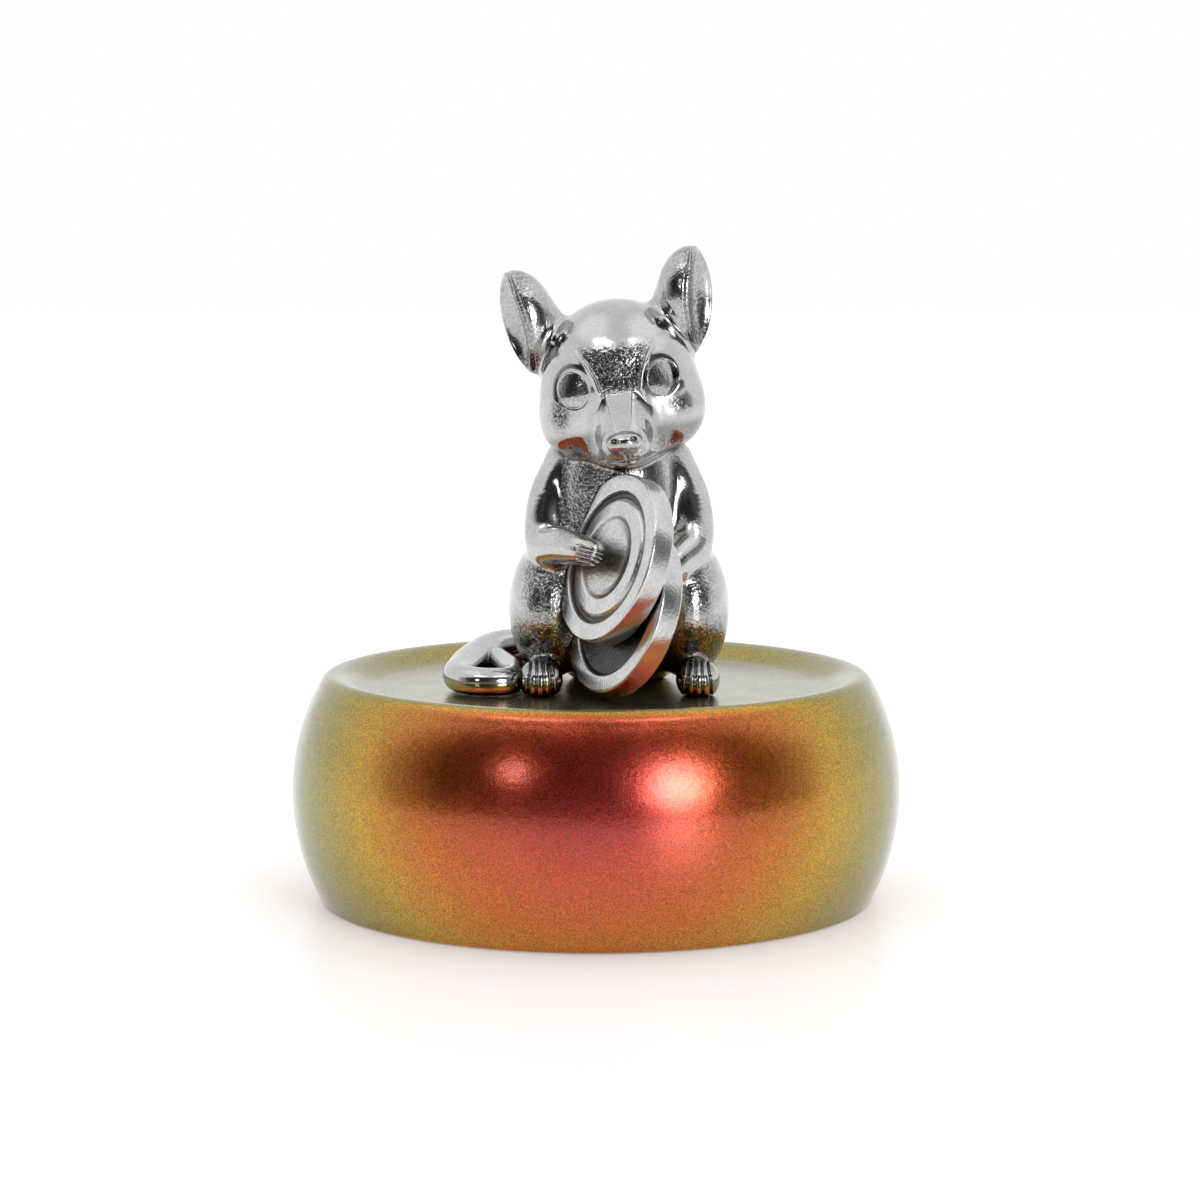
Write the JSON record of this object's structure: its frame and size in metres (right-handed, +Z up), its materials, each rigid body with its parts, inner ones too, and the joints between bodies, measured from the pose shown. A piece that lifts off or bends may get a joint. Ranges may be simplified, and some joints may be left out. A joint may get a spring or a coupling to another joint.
{
  "type": "seated rat ornament",
  "caption": "Polished pewter rat seated upright on a round lacquered base, hugging plain thick coins, with a curled tail; a desk ornament.",
  "frame": {"origin": "middle of the underside of the pad, where the ornament stands", "axes": "+Z up out of the base; the rat faces -Y; +X is the viewer's right"},
  "size_m": [0.0798, 0.08, 0.0856],
  "materials": {
    "lacquer": "gloss",
    "felt": "matte",
    "zinc_steel": "satin",
    "pewter": "polished"
  },
  "bodies": {
    "root": {"base_drum": "lacquer", "base_pad": "felt", "left_fixing_screw": "zinc_steel", "right_fixing_screw": "zinc_steel", "left_washer": "zinc_steel", "right_washer": "zinc_steel", "body": "pewter", "head": "pewter", "left_ear": "pewter", "right_ear": "pewter", "left_arm": "pewter", "right_arm": "pewter", "left_foot": "pewter", "right_foot": "pewter", "tail": "pewter", "front_coin": "pewter", "rear_coin": "pewter"}
  },
  "joints": []
}
